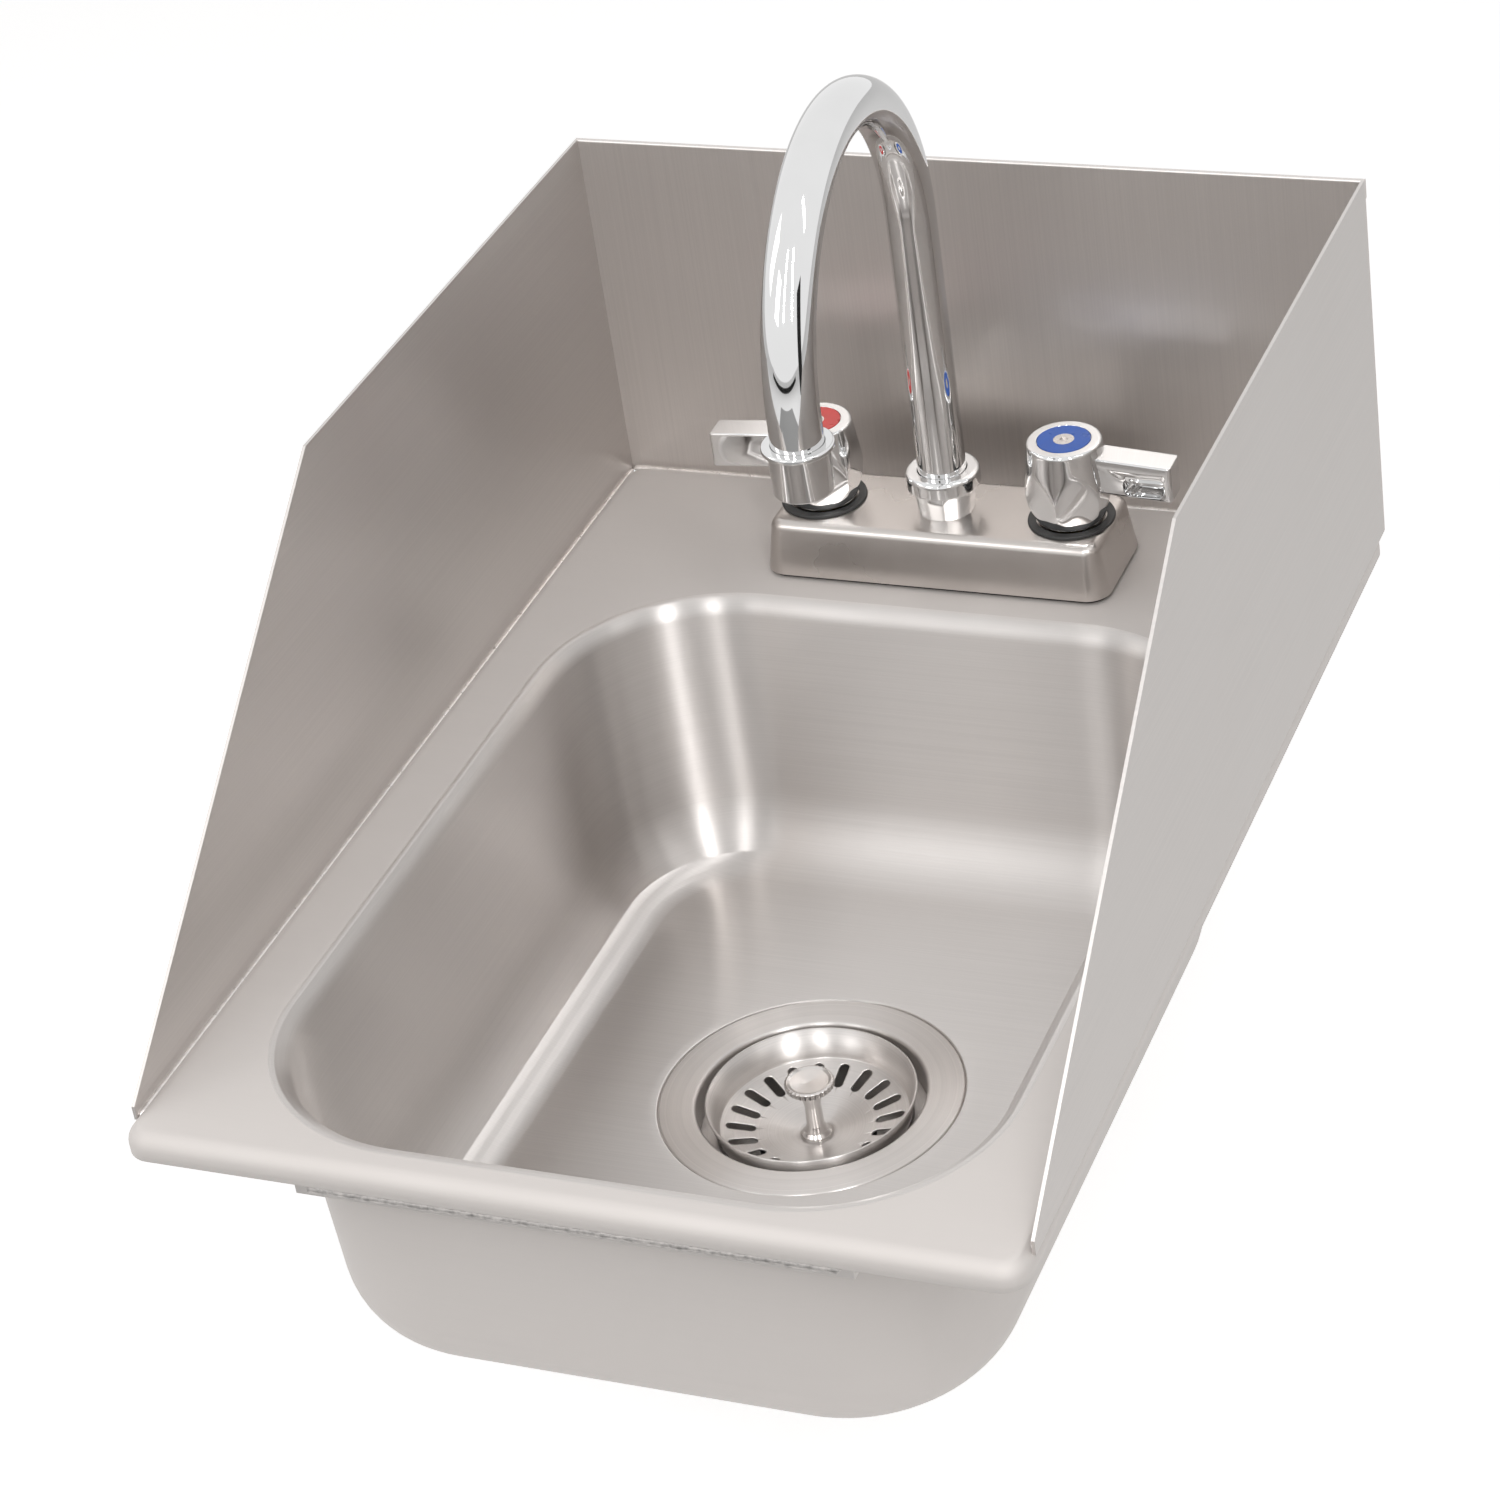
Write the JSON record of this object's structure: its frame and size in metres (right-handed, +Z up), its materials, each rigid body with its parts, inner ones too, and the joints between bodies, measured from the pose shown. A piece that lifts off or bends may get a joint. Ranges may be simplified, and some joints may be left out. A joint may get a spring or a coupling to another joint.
{
  "type": "drop-in hand sink",
  "caption": "Drop-in stainless hand sink with splash guards on three sides, a gooseneck faucet with lever handles on the rear ledge and a lift-out basket strainer in the floor.",
  "frame": {"origin": "middle of the rim in plan, on the counter top that the rim rests on", "axes": "+X to the user's right, +Y to the back splash, +Z up"},
  "size_m": [0.318, 0.4472, 0.4643],
  "materials": {
    "brushed_stainless": "brushed sheet",
    "plain_stainless": "plain",
    "satin_cast": "satin plated",
    "polished_chrome": "polished",
    "black_rubber": "matt",
    "dark_plastic": "matt",
    "grey_plastic": "matt",
    "bare_brass": "machined",
    "cast_zinc": "die cast",
    "hot_index_plastic": "gloss",
    "cold_index_plastic": "gloss"
  },
  "bodies": {
    "sink": {"sink_bowl": "brushed_stainless", "back_splash": "brushed_stainless", "left_splash": "brushed_stainless", "right_splash": "brushed_stainless", "front_rail": "plain_stainless", "left_rail": "plain_stainless", "right_rail": "plain_stainless", "faucet_base": "satin_cast", "base_gasket": "black_rubber", "spout_nut": "polished_chrome", "strainer_body": "brushed_stainless", "strainer_gasket": "black_rubber", "friction_ring": "grey_plastic", "strainer_locknut": "cast_zinc", "tailpiece": "polished_chrome", "tailpiece_washer": "grey_plastic", "coupling_nut": "cast_zinc", "hot_shank": "bare_brass", "hot_washer": "plain_stainless", "hot_locknut": "bare_brass", "hot_valve": "bare_brass", "hot_skirt_ring": "dark_plastic", "cold_shank": "bare_brass", "cold_washer": "plain_stainless", "cold_locknut": "bare_brass", "cold_valve": "bare_brass", "cold_skirt_ring": "dark_plastic"},
    "hot_tap": {"hot_handle": "polished_chrome", "hot_stem": "bare_brass", "hot_index": "hot_index_plastic", "hot_screw": "plain_stainless"},
    "cold_tap": {"cold_handle": "polished_chrome", "cold_stem": "bare_brass", "cold_index": "cold_index_plastic", "cold_screw": "plain_stainless"},
    "spout": {"gooseneck": "polished_chrome", "spout_seal_lower": "black_rubber", "spout_seal_upper": "black_rubber", "aerator_housing": "polished_chrome", "aerator_insert": "grey_plastic"},
    "basket": {"basket_cup": "brushed_stainless", "basket_post": "plain_stainless", "basket_knob": "plain_stainless", "basket_stopper": "black_rubber"}
  },
  "joints": [
    {"name": "hot_handle_turn", "type": "hinge", "parent": "sink", "child": "hot_tap", "pos_m": [-0.0508, 0.172, 0.05], "axis": [0, 0, 1], "range_deg": [0, 90]},
    {"name": "cold_handle_turn", "type": "hinge", "parent": "sink", "child": "cold_tap", "pos_m": [0.0508, 0.172, 0.05], "axis": [0, 0, 1], "range_deg": [-90, 0]},
    {"name": "spout_swivel", "type": "hinge", "parent": "sink", "child": "spout", "pos_m": [0, 0.172, 0.04], "axis": [0, 0, 1], "range_deg": [-60, 60]},
    {"name": "basket_lift", "type": "slide", "parent": "sink", "child": "basket", "axis": [0, 0, 1], "range_m": [0, 0.06]}
  ]
}
